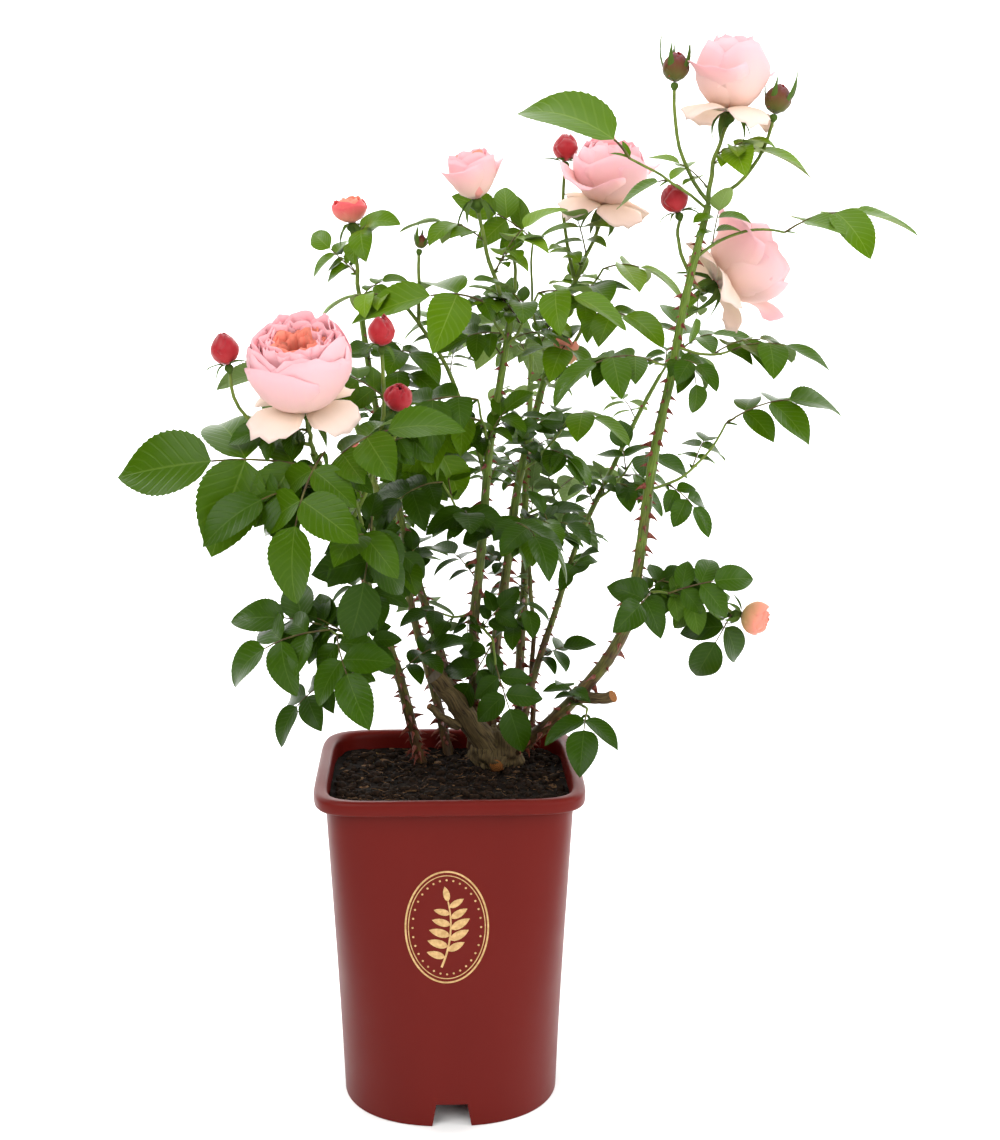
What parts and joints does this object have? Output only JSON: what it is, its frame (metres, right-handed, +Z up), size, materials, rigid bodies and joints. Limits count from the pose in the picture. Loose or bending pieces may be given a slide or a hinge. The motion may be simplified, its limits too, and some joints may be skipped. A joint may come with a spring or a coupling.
{
  "type": "rose bush in a pot",
  "caption": "Shrub rose with thorny canes, compound leaves, buds and cupped pink blooms, growing in a rounded-square plastic pot of potting mix.",
  "frame": {"origin": "middle of the whole object's footprint box, at the height of the pot's flat underside", "axes": "+Z up from the ground; -Y is the front, towards the viewer, with two of the pot's flat sides facing along Y and two along X"},
  "size_m": [0.577, 0.4493, 0.7874],
  "materials": {
    "pot_plastic": "glossy, injection moulded, deep red",
    "potting_mix": "damp, crumbly, dark brown",
    "bark": "rough, fissured old bark",
    "cane": "smooth thorny bark, brown low and green high",
    "foliage": "semi-gloss leaves with pale pink petals"
  },
  "bodies": {
    "root": {"back_left_cane": "cane", "back_left_spray_1": "foliage", "back_left_spray_2": "foliage", "back_right_cane": "cane", "back_right_spray_1": "foliage", "back_right_spray_2": "foliage", "big_bloom_spray": "foliage", "centre_big_leaf_spray": "foliage", "centre_cane": "cane", "centre_front_spray": "foliage", "centre_left_leaf": "foliage", "centre_right_cane": "cane", "centre_right_high_spray": "foliage", "centre_right_low_spray": "foliage", "centre_right_mid_spray": "foliage", "centre_right_spray": "foliage", "centre_spray": "foliage", "centre_top_spray": "foliage", "dead_stub": "bark", "far_left_spray": "foliage", "far_right_leaf": "foliage", "front_low_leaf": "foliage", "graft_union": "bark", "half_open_bloom_spray": "foliage", "leaning_bloom_spray": "foliage", "left_cane": "cane", "left_front_spray": "foliage", "left_hanging_leaf": "foliage", "left_lower_spray": "foliage", "left_middle_cane": "cane", "left_middle_high_spray": "foliage", "left_middle_low_spray": "foliage", "left_middle_spray": "foliage", "left_upper_spray": "foliage", "long_stalk_spray": "foliage", "low_left_spray": "foliage", "low_middle_spray": "foliage", "old_trunk": "bark", "open_bloom_spray": "foliage", "pale_shoot": "cane", "pale_shoot_spray": "foliage", "pot": "pot_plastic", "pot_edge_spray": "foliage", "right_arching_spray": "foliage", "right_bud_spray": "foliage", "right_cane_lower": "cane", "right_cane_upper": "cane", "right_low_spray": "foliage", "right_middle_spray": "foliage", "right_outer_spray": "foliage", "round_leaf_spray": "foliage", "salmon_bloom_spray": "foliage", "sawn_stub": "bark", "soil": "potting_mix", "thin_cane_spray": "foliage", "thin_cane_tip_spray": "foliage", "thin_right_cane": "cane", "top_bloom_spray": "foliage", "top_left_leaf": "foliage", "two_bud_spray": "foliage"}
  },
  "joints": []
}
